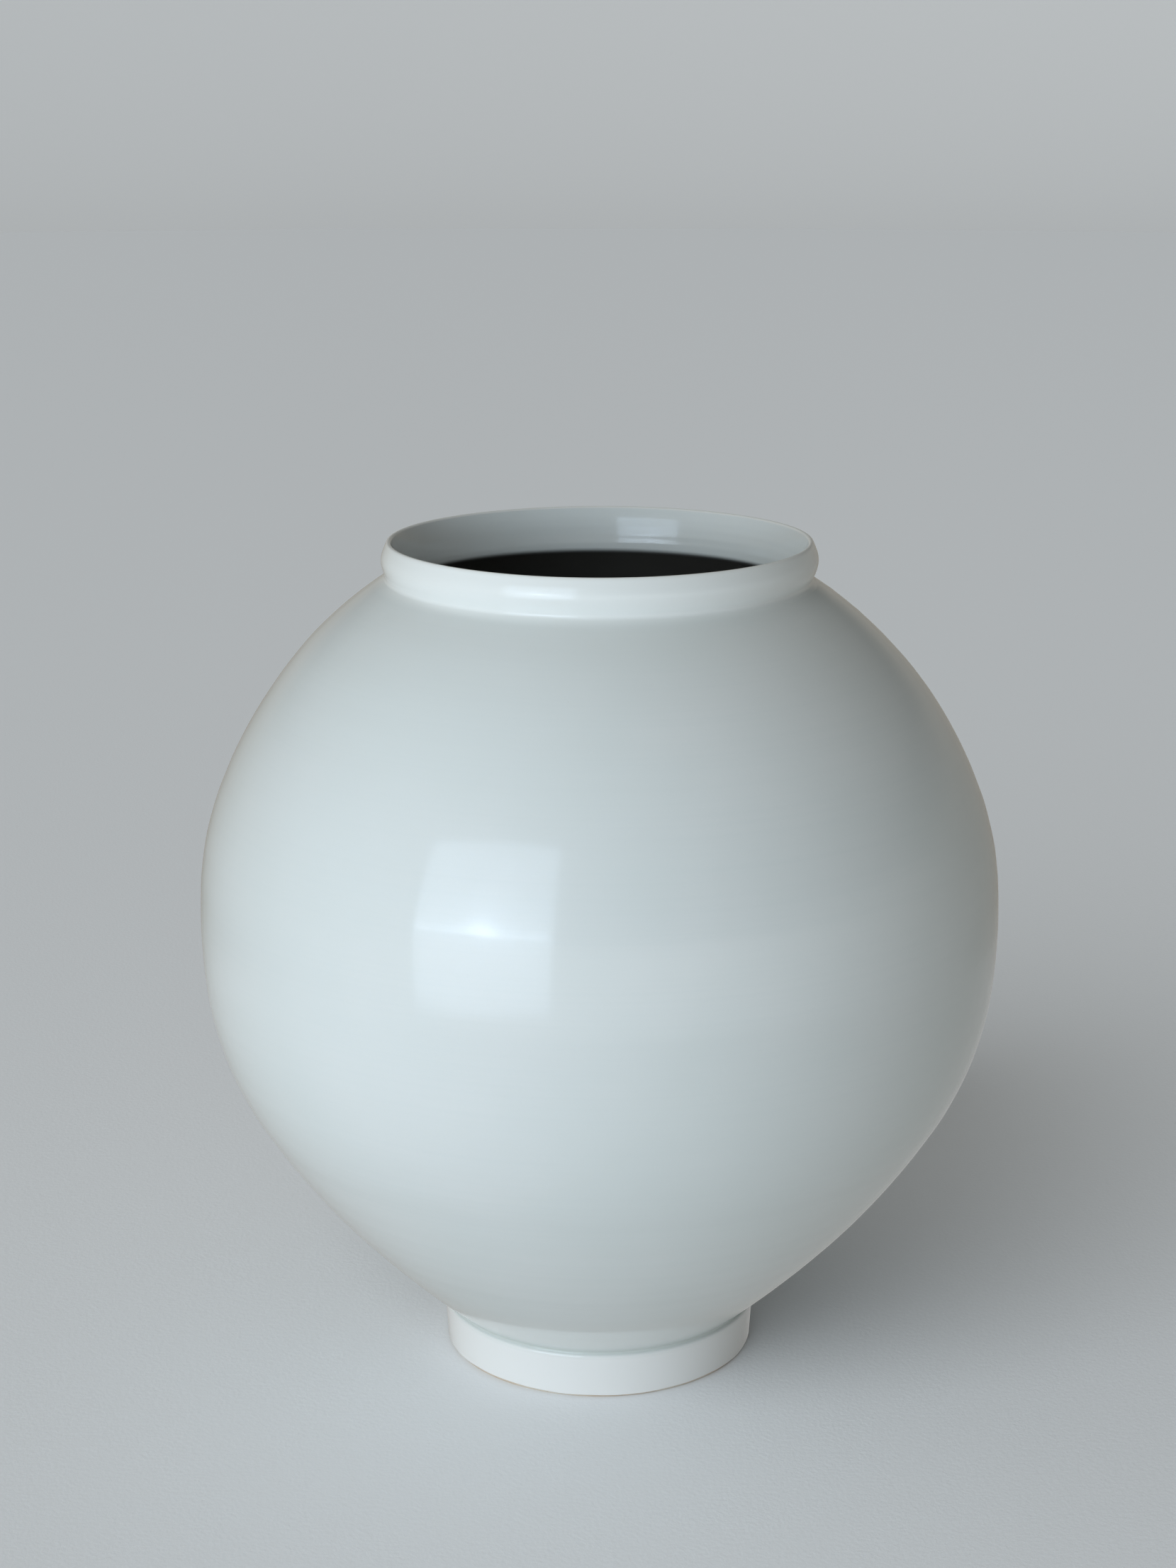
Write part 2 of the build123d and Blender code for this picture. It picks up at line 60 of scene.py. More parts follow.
# The studio, in linear colour. The softbox and panels share one upright plane at the front left: its origin
# stands LIGHT_D from LIGHT_O with the normal at LIGHT_AZ degrees right of the camera's side.
FLOOR_COLOUR = (0.74, 0.765, 0.79, 1)
BACKDROP_GLOW = (0.186, 0.198, 0.208, 1)
LIGHT_AZ, LIGHT_D, LIGHT_O = -30.0, 1.0, (-0.05, -0.17, 0.25)
SOFTBOX = ((-0.395, -0.305), (0.345, -0.285), (0.365, 0.835), (-0.455, 0.700))
SOFTBOX_SPAN = ((-0.50, 0.44), (-0.36, 0.87))
SOFTBOX_COLOUR = (0.765, 0.945, 1.160)
MOUTH_KICKER = 0.20    # the softbox again, for the inside of the mouth alone
BACK_FILL = 3.6        # from behind, for the outside alone
STAGE_LIGHT = (2.05, (0.93, 0.97, 1.0))    # for the floor alone
# panels on that plane, unseen in the glaze: name, (left, right), (low, high), colour, radiance, lit
PANELS = [
    ("key_fill", (-0.45, 0.41), (-0.33, 0.84), (1.00, 0.78, 0.34), 0.34, "jar"),
]
WORLD = {
    "sky": {"all": (0.000, 0.000, 0.000), "left": (0.394, 0.377, 0.350),
            "right": (0.008, 0.008, 0.008), "front": (0.040, 0.051, 0.062),
            "back": (0.032, 0.029, 0.027), "top": (0.379, 0.378, 0.361),
            "front_left": (0.390, 0.419, 0.418), "front_right": (0.053, 0.055, 0.057)},
    "level": {"all": (0.176, 0.161, 0.134), "left": (0.240, 0.209, 0.181),
              "right": (0.008, 0.008, 0.008), "front": (0.457, 0.479, 0.483),
              "back": (0.112, 0.105, 0.096), "front_left": (0.248, 0.237, 0.213),
              "front_right": (0.310, 0.330, 0.340)},
    "below": {"all": (0.215, 0.191, 0.152), "left": (0.460, 0.474, 0.468),
              "right": (0.008, 0.008, 0.008), "front": (0.190, 0.187, 0.180),
              "back": (0.219, 0.248, 0.284)},
}

# ------------------------------------------------------------------------------------------
# The section, in millimetres, as in the solids: tangent arcs, each (centre r, centre z, radius),
# a point on one named by its tangent heading (0 = outward, 90 = straight up).
# ------------------------------------------------------------------------------------------
GLAZE, WALL = 0.6, 5.6
IN = GLAZE + WALL
EQUATOR_R, EQUATOR_Z, BELT_R = 190.2, 220.5, 282.0
BODY_UP = [(BELT_R, 94.1), (142.4, 109.9), (212.6, 121.0), (200.0, 147.6)]
BODY_DOWN = [(BELT_R, 84.4), (151.2, 59.0), (368.3, 46.9), (612.7, 40.7)]


def on(arc, heading, inset=0.0):
    a = radians(heading)
    return (arc[0] + (arc[2] - inset) * sin(a), arc[1] - (arc[2] - inset) * cos(a))


def heading_of(arc, point):
    return degrees(atan2(point[0] - arc[0], arc[1] - point[1]))


def next_arc(arc, heading, radius):
    a, k = radians(heading), arc[2] - radius
    return (arc[0] + k * sin(a), arc[1] - k * cos(a), radius)


def meet(c1, d1, c2, d2, side):
    dx, dz = c2[0] - c1[0], c2[1] - c1[1]
    d = hypot(dx, dz)
    k = (d1 * d1 - d2 * d2 + d * d) / (2 * d)
    h = (d1 * d1 - k * k) ** 0.5
    return (c1[0] + (k * dx - side * h * dz) / d, c1[1] + (k * dz + side * h * dx) / d)


def toward(c, target, distance):
    d = hypot(target[0] - c[0], target[1] - c[1])
    return (c[0] + (target[0] - c[0]) * distance / d, c[1] + (target[1] - c[1]) * distance / d)


belt = (EQUATOR_R - BELT_R, EQUATOR_Z, BELT_R)
up, down = [belt], [belt]
for (_, h), (r, _) in zip(BODY_UP, BODY_UP[1:]):
    up.append(next_arc(up[-1], h, r))
for (_, h), (r, _) in zip(BODY_DOWN, BODY_DOWN[1:]):
    down.append(next_arc(down[-1], h, r))
up_h = [90.0] + [h for _, h in BODY_UP]
down_h = [90.0] + [h for _, h in BODY_DOWN]
shoulder, base_arc = up[-1], down[-1]

LIP_R, LIP_ROUND, TOP = 98.0, 1.2, 400.0
BULGE_R, BULGE_Z, UNDER = 101.5, 391.5, 14.9
lip_c = (LIP_R, TOP - LIP_ROUND, LIP_ROUND)
k, dz = BULGE_R - LIP_R, lip_c[1] - BULGE_Z
roll_r = (k * k + dz * dz - LIP_ROUND ** 2) / (2 * (k - LIP_ROUND))
upper_roll = (BULGE_R - roll_r, BULGE_Z, roll_r)
under_roll = (BULGE_R - UNDER, BULGE_Z, UNDER)
lip_out_h = heading_of(upper_roll, lip_c)
COVE = 2.1            # glaze fillet under the collar: 1.2 in the solid, fuller here where it pools
cove_c = meet(under_roll, UNDER + COVE, shoulder, shoulder[2] + COVE, 1)
THROAT, THROAT_R, NECK = 2.5, 94.8, 70.7
far = shoulder[2] - IN + (THROAT - GLAZE)
throat_c = (THROAT_R, shoulder[1] + (far ** 2 - (THROAT_R - shoulder[0]) ** 2) ** 0.5)
neck_c = meet(throat_c, NECK - THROAT, lip_c, NECK - LIP_ROUND, -1)
lip_in = toward(neck_c, lip_c, NECK)
lip_in_clay = toward(neck_c, lip_c, NECK - GLAZE)
neck_low = toward(neck_c, throat_c, NECK)
neck_low_clay = toward(neck_c, throat_c, NECK - GLAZE)
ceiling_end = toward(shoulder, throat_c, shoulder[2] - IN - GLAZE)
ceiling_end_clay = toward(shoulder, throat_c, shoulder[2] - IN)
ceiling_h = heading_of(shoulder, ceiling_end)

BASE_Z, LEAN = 14.5, 86.4
EDGE, EDGE_R = (75.06, 21.0), 1.4
edge_arc = (EDGE[0], EDGE[1], EDGE_R)
NOTCH_R = 0.9
notch_c = meet(EDGE, EDGE_R + NOTCH_R, base_arc, base_arc[2] + NOTCH_R, -1)
notch_on_edge = toward(EDGE, notch_c, EDGE_R)
notch_on_body = toward(base_arc, notch_c, base_arc[2])
BORE_R, LAND_R, OUT_BEVEL, IN_BEVEL = 62.8, 73.9, 1.0, 3.0
GLAZE_STOP, RECESS_STOP, RECESS_COVE = 1.2, 3.2, 3.0
SLIP = 0.8


def foot_wall(z, inset=0.0):
    p = on(edge_arc, LEAN, inset)
    return (p[0] - (p[1] - z) / tan(radians(LEAN)), z)


FLOOR_Z, FLOOR_H = 26.5, 37.9
wall_arc = next_arc((down[1][0], down[1][1], down[1][2] - IN), down_h[2], 307.0)
low = on(wall_arc, FLOOR_H)
cr = (low[1] - FLOOR_Z) / (1 - cos(radians(FLOOR_H)))
floor_arc = (low[0] - cr * sin(radians(FLOOR_H)), FLOOR_Z + cr, cr)


def belt_at(z, inset):
    return (belt[0] + ((belt[2] - inset) ** 2 - (z - EQUATOR_Z) ** 2) ** 0.5, z)


BEAD_HALF, BEAD_PROUD, BEAD_COVE = 4.5, 1.6, 2.0
bead_lo, bead_hi = belt_at(EQUATOR_Z - BEAD_HALF, IN), belt_at(EQUATOR_Z + BEAD_HALF, IN)
sag = bead_hi[0] - (EQUATOR_R - IN - BEAD_PROUD)
bead_r = (BEAD_HALF ** 2 + sag ** 2) / (2 * sag)
bead_c = (EQUATOR_R - IN - BEAD_PROUD + bead_r, EQUATOR_Z)
bead_round = bead_r + GLAZE
DEEP = IN + GLAZE
cove_hi = meet(bead_c, bead_round + BEAD_COVE, belt, belt[2] - DEEP - BEAD_COVE, -1)
cove_lo = (cove_hi[0], 2 * EQUATOR_Z - cove_hi[1])
wall_hi, wall_lo = toward(belt, cove_hi, belt[2] - DEEP), toward(belt, cove_lo, belt[2] - DEEP)
bead_top, bead_bot = toward(bead_c, cove_hi, bead_round), toward(bead_c, cove_lo, bead_round)


# ------------------------------------------------------------------------------------------
# Sampling the section into rings
# ------------------------------------------------------------------------------------------
class Outline:
    """Points of a section, each with a mark for the stretch it belongs to."""

    def __init__(self):
        self.p, self.mark = [], []

    def add(self, pts, mark):
        for q in pts:
            if self.p and hypot(q[0] - self.p[-1][0], q[1] - self.p[-1][1]) < 1e-4:
                continue
            self.p.append((float(q[0]), float(q[1])))
            self.mark.append(mark)
        return self

    def arc(self, arc, h0, h1, n, inset=0.0, mark="free"):
        return self.add([on(arc, h0 + (h1 - h0) * i / n, inset) for i in range(n + 1)], mark)

    def round(self, c, radius, p0, p1, n, mark="free"):
        a0, a1 = atan2(p0[1] - c[1], p0[0] - c[0]), atan2(p1[1] - c[1], p1[0] - c[0])
        turn = (a1 - a0 + 3 * pi) % (2 * pi) - pi
        return self.add([(c[0] + radius * cos(a0 + turn * i / n), c[1] + radius * sin(a0 + turn * i / n))
                         for i in range(n + 1)], mark)

    def line(self, p0, p1, n, mark="free"):
        return self.add([(p0[0] + (p1[0] - p0[0]) * i / n, p0[1] + (p1[1] - p0[1]) * i / n)
                         for i in range(n + 1)], mark)


def smooth(x, a, b):
    t = np.clip((np.asarray(x, float) - a) / (b - a), 0, 1)
    return t * t * (3 - 2 * t)


def wander(seed, x, lows, highs, n=9):
    """Smooth repeatable wavering of x, about -1 to 1: sines of mixed wavelengths."""
    rng = np.random.RandomState(seed)
    out = np.zeros_like(np.asarray(x, float))
    for _ in range(n):
        wave = np.exp(rng.uniform(np.log(lows), np.log(highs)))
        out = out + rng.uniform(0.5, 1.0) * np.sin(2 * pi * x / wave + rng.uniform(0, 2 * pi))
    return out / (n ** 0.5)


def around_wave(seed, theta, counts, amp):
    rng = np.random.RandomState(seed)
    out = np.zeros_like(theta)
    for c, a in zip(counts, amp):
        out = out + a * np.cos(c * theta + rng.uniform(0, 2 * pi))
    return out


def normals_of(pts, closed):
    """Unit normals of the section, to the left of its direction of travel turned outwards."""
    p = np.asarray(pts)
    if closed:
        t = np.roll(p, -1, 0) - np.roll(p, 1, 0)
    else:
        t = np.empty_like(p)
        t[1:-1] = p[2:] - p[:-2]
        t[0], t[-1] = p[1] - p[0], p[-1] - p[-2]
    t /= np.maximum(np.hypot(t[:, 0], t[:, 1]), 1e-9)[:, None]
    return np.stack([-t[:, 1], t[:, 0]], 1)


def turned(name, outline, shape=None, closed=True, sharp=30.0):
    """A closed mesh turned about Z from an outline. shape(p, n, theta, marks) gives each ring's
    points over theta, as (r, z) arrays of rings x columns."""
    p = np.array(outline.p)
    area = 0.5 * np.sum(p[:, 0] * np.roll(p[:, 1], -1) - np.roll(p[:, 0], -1) * p[:, 1])
    n = normals_of(p, closed)
    if area > 0:
        n = -n                # the normal points out of the closed section
    theta = np.arange(AROUND) * (2 * pi / AROUND)
    if shape is None:
        r, z = np.repeat(p[:, :1], AROUND, 1), np.repeat(p[:, 1:], AROUND, 1)
    else:
        r, z = shape(p, n, theta, outline.mark)
    poles = {}
    verts, rows = [], []
    for k in range(len(p)):
        if p[k, 0] < 1e-6:
            poles[k] = len(verts)
            verts.append((0.0, 0.0, float(z[k].mean())))
            rows.append(None)
            continue
        rows.append(len(verts))
        verts.extend(zip(r[k] * np.cos(theta), r[k] * np.sin(theta), z[k]))
    faces = []
    count = len(p)
    for k in range(count if closed else count - 1):
        a, b = k, (k + 1) % count
        if rows[a] is None and rows[b] is None:
            continue
        for j in range(AROUND):
            m = (j + 1) % AROUND
            if rows[a] is None:
                f = (poles[a], rows[b] + j, rows[b] + m)
            elif rows[b] is None:
                f = (rows[a] + j, poles[b], rows[a] + m)
            else:
                f = (rows[a] + j, rows[b] + j, rows[b] + m, rows[a] + m)
            faces.append(f if area > 0 else f[::-1])
    mesh = bpy.data.meshes.new(name)
    mesh.from_pydata([(x * MM, y * MM, w * MM) for x, y, w in verts], [], faces)
    mesh.validate()
    mesh.polygons.foreach_set("use_smooth", [True] * len(mesh.polygons))
    mesh.update()
    obj = bpy.data.objects.new(name, mesh)
    bpy.context.scene.collection.objects.link(obj)
    mesh.set_sharp_from_angle(angle=radians(sharp))
    return obj


# ------------------------------------------------------------------------------------------
# How the thrown surfaces depart from the true turned ones, in millimetres
# ------------------------------------------------------------------------------------------
def lip_lift(r, z, theta):
    """The lip isn't dead level: it rises and falls a little round the mouth."""
    w = smooth(z, 386, 399)
    return w * around_wave(5, theta, (1, 2, 3, 5), (0.16, 0.12, 0.06, 0.03))


def collar_sway(z, theta):
    """The collar isn't dead round either."""
    return smooth(z, 383.5, 390) * around_wave(8, theta, (2, 3, 4), (0.16, 0.10, 0.05))


def collar_face(z):
    """The roll's face, a little rounder at its widest than one arc, as its highlight shows."""
    out = np.zeros_like(z)
    for (z0, d0, s0), (z1, d1, s1) in zip(COLLAR_FACE, COLLAR_FACE[1:]):
        t = np.clip((z - z0) / (z1 - z0), 0, 1)
        piece = (d0 * (2 * t ** 3 - 3 * t ** 2 + 1) + s0 * (z1 - z0) * (t ** 3 - 2 * t ** 2 + t)
                 + d1 * (3 * t ** 2 - 2 * t ** 3) + s1 * (z1 - z0) * (t ** 3 - t ** 2))
        out = np.where((z >= z0) & (z < z1), piece, out)
    return out


# height, offset outwards, slope
COLLAR_FACE = [(384.6, 0.0, 0.0), (388.6, 0.02, 0.03), (391.4, 0.13, 0.0), (393.4, 0.03, -0.085),
               (395.4, -0.16, -0.085), (397.3, -0.24, 0.0), (399.7, 0.0, 0.0)]


def outer_shape(p, n, theta, marks):
    R, Z = p[:, :1], p[:, 1:]
    free = np.array([m == "free" for m in marks])[:, None]
    T = theta[None, :]
    # fuller on the left shoulder below the collar, as thrown and joined by hand
    w = smooth(Z, 322, 366) * (1 - smooth(Z, 381.2, 386.5))
    d = w * (0.30 - 0.78 * np.cos(T))
    # out of round over the belly
    body = smooth(Z, 40, 90) * (1 - smooth(Z, 366, 381))
    d = d + body * (0.10 + around_wave(1, T + Z * 0.002, (2, 3, 4), (0.16, 0.09, 0.05)))
    # throwing undulations climb in a spiral; turned lines on the lower bowl
    climb = Z + 9.0 * T / (2 * pi)
    upper = smooth(Z, 224, 250) * (1 - smooth(Z, 362, 378))
    lower = smooth(Z, 30, 60) * (1 - smooth(Z, 200, 217))
    ridge = upper * 0.045 * wander(3, climb, 11, 30) + lower * 0.035 * wander(4, Z + 0 * T, 9, 26)
    # the seam at the widest point: a faint belt left by luting and scraping
    seam = np.exp(-((Z - EQUATOR_Z - 0.4 * np.sin(2 * T + 1)) / 5.0) ** 2)
    ridge = ridge + seam * (0.05 + around_wave(9, T, (3, 7, 11), (0.02, 0.02, 0.015)))
    d = d + np.where(free, ridge, 0.0)
    d = np.maximum(d, -0.35)
    sway = collar_sway(Z, T)
    r = R + n[:, :1] * d + sway + collar_face(Z)
    z = Z + n[:, 1:] * d + lip_lift(R, Z, T)
    # glaze edge at the foot: wiped by hand, so it wavers
    edge = 1 - smooth(Z, 1.4, 3.2)
    z = z + edge * (around_wave(12, T, (3, 5, 9, 14, 23), (0.16, 0.12, 0.08, 0.06, 0.05)))
    return r, z


outer = Outline()
outer.round(lip_c, LIP_ROUND, lip_in, on(lip_c, lip_out_h), 12)
outer.arc(upper_roll, lip_out_h, 90, 12)
outer.arc(under_roll, 90, heading_of(under_roll, cove_c), 14)
outer.round(cove_c, COVE, toward(under_roll, cove_c, UNDER), toward(shoulder, cove_c, shoulder[2]), 8)
outer.arc(shoulder, heading_of(shoulder, cove_c), up_h[3], 36)
outer.arc(up[2], up_h[3], up_h[2], 16)
outer.arc(up[1], up_h[2], up_h[1], 16)
outer.arc(belt, up_h[1], down_h[1], 22)
outer.arc(down[1], down_h[1], down_h[2], 28)
outer.arc(down[2], down_h[2], down_h[3], 32)
outer.arc(base_arc, down_h[3], heading_of(base_arc, notch_c), 24)
outer.round(notch_c, NOTCH_R, notch_on_body, notch_on_edge, 7)
outer.round(EDGE, EDGE_R, notch_on_edge, on(edge_arc, LEAN), 7)
outer.line(on(edge_arc, LEAN), foot_wall(GLAZE_STOP + 0.45), 14)
ec = foot_wall(GLAZE_STOP + 0.42, 0.42)
outer.round(ec, 0.42, foot_wall(GLAZE_STOP + 0.42), (ec[0], ec[1] - 0.42), 4)
outer.line((ec[0], ec[1] - 0.42), foot_wall(GLAZE_STOP, GLAZE), 1, "clay")
outer.line(foot_wall(GLAZE_STOP, GLAZE), on(edge_arc, LEAN, GLAZE), 2, "clay")
ledge = on(edge_arc, 165.0, GLAZE)
outer.arc(edge_arc, LEAN, 165.0, 3, GLAZE, "clay")
outer.line(ledge, toward(base_arc, (73.4, 23.4), base_arc[2] - GLAZE), 2, "clay")
outer.arc(base_arc, heading_of(base_arc, (73.4, 23.4)), down_h[3], 4, GLAZE, "clay")
outer.arc(down[2], down_h[3], down_h[2], 5, GLAZE, "clay")
outer.arc(down[1], down_h[2], down_h[1], 5, GLAZE, "clay")
outer.arc(belt, down_h[1], up_h[1], 3, GLAZE, "clay")
outer.arc(up[1], up_h[1], up_h[2], 3, GLAZE, "clay")
outer.arc(up[2], up_h[2], up_h[3], 3, GLAZE, "clay")
outer.arc(shoulder, up_h[3], heading_of(shoulder, (98.4, 381.9)), 6, GLAZE, "clay")
outer.arc(under_roll, 52.5, 90, 4, GLAZE, "clay")
outer.arc(upper_roll, 90, lip_out_h, 3, GLAZE, "clay")
outer.round(lip_c, LIP_ROUND - GLAZE, on(lip_c, lip_out_h, GLAZE), lip_in_clay, 4, "clay")
outer_coat = turned("outer_glaze_coat", outer, outer_shape)


def inner_shape(p, n, theta, marks):
    R, Z = p[:, :1], p[:, 1:]
    free = np.array([m == "free" for m in marks])[:, None]
    T = theta[None, :]
    climb = Z + 11.0 * T / (2 * pi)
    belly = smooth(Z, 60, 100) * (1 - smooth(Z, 340, 374)) * (1 - np.exp(-((Z - EQUATOR_Z) / 12.0) ** 2))
    ridge = belly * (0.16 + 0.13 * np.sin(2 * pi * climb / 11.0) + 0.05 * wander(21, climb, 6, 30))
    # finger marks wind across the floor to the middle
    floor = (Z < 60) * (1 - smooth(Z, 40, 60)) * smooth(R, 3, 16)
    ridge = ridge + floor * (0.14 + 0.12 * np.sin(2 * pi * (R + 9.0 * T / (2 * pi)) / 9.0))
    bead = np.exp(-((Z - EQUATOR_Z) / 5.0) ** 2)
    ridge = ridge + bead * around_wave(22, T, (5, 9, 14, 23, 31), (0.16, 0.14, 0.12, 0.09, 0.06)) * 0.9
    neck = smooth(Z, 377, 384) * (1 - smooth(Z, 393, 398))
    ridge = ridge + neck * (0.03 * np.sin(2 * pi * (Z + 4.2 * T / (2 * pi)) / 4.2) + 0.02)
    d = np.where(free, np.maximum(ridge, -0.25), 0.0)
    r = R + n[:, :1] * d + collar_sway(Z, T)
    z = Z + n[:, 1:] * d + lip_lift(R, Z, T)
    return r, z


inner = Outline()
inner.round(neck_c, NECK, lip_in, neck_low, 20)
inner.round(throat_c, THROAT, neck_low, ceiling_end, 8)
inner.arc(shoulder, ceiling_h, up_h[3], 34, DEEP)
inner.arc(up[2], up_h[3], up_h[2], 15, DEEP)
inner.arc(up[1], up_h[2], up_h[1], 15, DEEP)
inner.arc(belt, up_h[1], heading_of(belt, wall_hi), 6, DEEP)
inner.round(cove_hi, BEAD_COVE, wall_hi, bead_top, 4)
inner.round(bead_c, bead_round, bead_top, bead_bot, 8)
inner.round(cove_lo, BEAD_COVE, bead_bot, wall_lo, 4)
inner.arc(belt, heading_of(belt, wall_lo), down_h[1], 10, DEEP)
inner.arc(down[1], down_h[1], down_h[2], 24, DEEP)
inner.arc(wall_arc, down_h[2], FLOOR_H, 42, GLAZE)
inner.arc(floor_arc, FLOOR_H, 0.0, 28, GLAZE)
inner.line((floor_arc[0], FLOOR_Z + GLAZE), (0.0, FLOOR_Z + GLAZE), 10)
inner.line((0.0, FLOOR_Z), (floor_arc[0], FLOOR_Z), 2, "clay")
inner.arc(floor_arc, 0.0, FLOOR_H, 3, 0.0, "clay")
inner.arc(wall_arc, FLOOR_H, down_h[2], 5, 0.0, "clay")
inner.arc(down[1], down_h[2], down_h[1], 4, IN, "clay")
inner.arc(belt, down_h[1], heading_of(belt, bead_lo), 2, IN, "clay")
inner.round(bead_c, bead_r, bead_lo, bead_hi, 5, "clay")
inner.arc(belt, heading_of(belt, bead_hi), up_h[1], 2, IN, "clay")
inner.arc(up[1], up_h[1], up_h[2], 3, IN, "clay")
inner.arc(up[2], up_h[2], up_h[3], 3, IN, "clay")
inner.arc(shoulder, up_h[3], ceiling_h, 6, IN, "clay")
inner.round(throat_c, THROAT - GLAZE, ceiling_end_clay, neck_low_clay, 3, "clay")
inner.round(neck_c, NECK - GLAZE, neck_low_clay, lip_in_clay, 5, "clay")
inner_coat = turned("inner_glaze_coat", inner, inner_shape)


def recess_shape(p, n, theta, marks):
    R, Z = p[:, :1], p[:, 1:]
    free = np.array([m == "free" for m in marks])[:, None]
    T = theta[None, :]
    d = np.where(free & (Z > 9), 0.05 * wander(31, R + 3.0 * T / pi, 5, 18) * smooth(R, 2, 12), 0.0)
    r = R + n[:, :1] * d
    z = Z + n[:, 1:] * d
    edge = 1 - smooth(Z, 3.5, 6.0)
    z = z + edge * around_wave(33, T, (2, 5, 8, 13), (0.25, 0.15, 0.1, 0.08))
    return r, z


fr, fz = BORE_R - GLAZE, BASE_Z - GLAZE
rc = (fr - RECESS_COVE, fz - RECESS_COVE)
recess = Outline()
recess.line((0.0, fz), (rc[0], fz), 30)
recess.round(rc, RECESS_COVE, (rc[0], fz), (fr, rc[1]), 8)
recess.line((fr, rc[1]), (fr, RECESS_STOP + 0.4), 8)
recess.round((fr + 0.4, RECESS_STOP + 0.4), 0.4, (fr, RECESS_STOP + 0.4), (fr + 0.4, RECESS_STOP), 4)
recess.line((fr + 0.4, RECESS_STOP), (BORE_R, RECESS_STOP), 1, "clay")
recess.line((BORE_R, RECESS_STOP), (BORE_R, BASE_Z), 2, "clay")
recess.line((BORE_R, BASE_Z), (0.0, BASE_Z), 6, "clay")
recess_coat = turned("foot_recess_glaze_coat", recess, recess_shape)


def rim_shape(p, n, theta, marks):
    R, Z = p[:, :1], p[:, 1:]
    T = theta[None, :]
    free = np.array([m == "free" for m in marks])[:, None]
    rng = np.random.RandomState(44)
    d = 0.035 * wander(41, R + 0.6 * Z + 0 * T, 1.2, 5)
    for _ in range(26):          # small nicks along the trimmed edges
        a, depth, wide = rng.uniform(0, 2 * pi), rng.uniform(0.05, 0.22), rng.uniform(0.008, 0.02)
        at = LAND_R if rng.uniform() < 0.6 else BORE_R + IN_BEVEL
        gap = np.angle(np.exp(1j * (T - a)))
        d = d - depth * np.exp(-(gap / wide) ** 2) * np.exp(-((R - at) / 0.7) ** 2)
    d = np.where(free, d, 0.0)
    # the standing face stays flat: nothing goes below z = 0
    r, z = R + n[:, :1] * d, np.maximum(Z + n[:, 1:] * d, 0.0)
    z = np.where((Z <= 1e-6), np.maximum(-d * 0.6, 0.0) * np.ones_like(T), z)
    return r, z


SEAT = base_arc[2] - GLAZE + SLIP
seat_out = toward(base_arc, (74.25, 22.04), SEAT)
seat_in = (BORE_R, base_arc[1] - (SEAT ** 2 - (BORE_R - base_arc[0]) ** 2) ** 0.5)
foot = Outline()
foot.line(foot_wall(OUT_BEVEL + 1.2, GLAZE), foot_wall(OUT_BEVEL + 0.2, GLAZE), 4)
foot.line(foot_wall(OUT_BEVEL, GLAZE), (LAND_R + 0.12, 0.12), 6)
foot.line((LAND_R, 0.0), (BORE_R + IN_BEVEL + 0.2, 0.0), 26)
foot.line((BORE_R + IN_BEVEL, 0.04), (BORE_R + 0.15, IN_BEVEL - 0.15), 14)
foot.line((BORE_R, IN_BEVEL), (BORE_R, IN_BEVEL + 1.5), 4)
foot.line((BORE_R, IN_BEVEL + 1.5), seat_in, 2, "clay")
foot.round(base_arc, SEAT, seat_in, seat_out, 4, "clay")
foot.line(seat_out, ledge, 1, "clay")
foot.arc(edge_arc, 165.0, LEAN, 3, GLAZE, "clay")
foot.line(on(edge_arc, LEAN, GLAZE), foot_wall(OUT_BEVEL + 1.2, GLAZE), 2, "clay")
foot_rim = turned("foot_ring_clay", foot, rim_shape, sharp=50)


